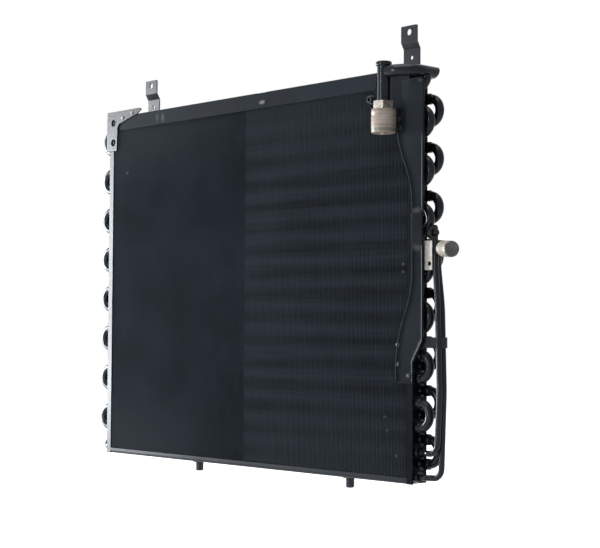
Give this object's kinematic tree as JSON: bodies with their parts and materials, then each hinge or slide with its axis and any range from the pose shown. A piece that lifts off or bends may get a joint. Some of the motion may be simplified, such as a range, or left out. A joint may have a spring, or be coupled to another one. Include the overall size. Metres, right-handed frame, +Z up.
{
  "type": "air conditioning condenser",
  "caption": "Black painted tube-and-fin condenser with staggered rows of tubes, ear mounts, locating pins and capped pipe fittings.",
  "frame": {"origin": "centre of the left ear's bolt hole, in the middle of its sheet", "axes": "+X along the width towards the pipe connections, +Y from front to back, +Z up"},
  "size_m": [0.6175, 0.0633, 0.4965],
  "materials": {
    "black_paint": "semi-gloss",
    "fin_paint": "satin",
    "cap_plastic": "translucent",
    "zinc_plate": "plated",
    "bare_nut": "machined"
  },
  "bodies": {
    "root": {"left_fin_pack": "fin_paint", "right_fin_pack": "fin_paint", "left_end_plate": "black_paint", "right_end_plate": "black_paint", "top_rail": "black_paint", "bottom_rail": "black_paint", "left_ear": "black_paint", "right_ear": "black_paint", "corner_bracket": "black_paint", "corner_rivets": "black_paint", "side_bracket": "black_paint", "bracket_rivets": "black_paint", "left_locating_pin": "black_paint", "right_locating_pin": "black_paint", "crossover_tube": "black_paint", "inlet_manifold": "black_paint", "inlet_elbow": "black_paint", "inlet_fitting": "black_paint", "inlet_nut": "bare_nut", "inlet_cap": "cap_plastic", "bracket_weld_nut": "black_paint", "front_outlet_pipe": "black_paint", "rear_outlet_pipe": "black_paint", "outlet_block": "black_paint", "outlet_fitting": "black_paint", "outlet_cap": "cap_plastic", "outlet_bolt": "black_paint", "outlet_plate": "zinc_plate", "pipe_clip": "black_paint", "rear_hairpin_01_02": "black_paint", "front_hairpin_01_02": "black_paint", "rear_hairpin_03_04": "black_paint", "front_hairpin_03_04": "black_paint", "rear_hairpin_05_06": "black_paint", "front_hairpin_05_06": "black_paint", "rear_hairpin_07_08": "black_paint", "front_hairpin_07_08": "black_paint", "rear_hairpin_09_10": "black_paint", "front_hairpin_09_10": "black_paint", "rear_hairpin_11_12": "black_paint", "front_hairpin_11_12": "black_paint", "rear_hairpin_13_14": "black_paint", "front_hairpin_13_14": "black_paint", "rear_hairpin_15_16": "black_paint", "front_hairpin_15_16": "black_paint", "rear_return_bend_02_03": "black_paint", "front_return_bend_02_03": "black_paint", "rear_return_bend_04_05": "black_paint", "front_return_bend_04_05": "black_paint", "rear_return_bend_06_07": "black_paint", "front_return_bend_06_07": "black_paint", "rear_return_bend_08_09": "black_paint", "front_return_bend_08_09": "black_paint", "rear_return_bend_10_11": "black_paint", "front_return_bend_10_11": "black_paint", "rear_return_bend_12_13": "black_paint", "front_return_bend_12_13": "black_paint", "rear_return_bend_14_15": "black_paint", "front_return_bend_14_15": "black_paint", "rear_return_bend_16_17": "black_paint"}
  },
  "joints": []
}
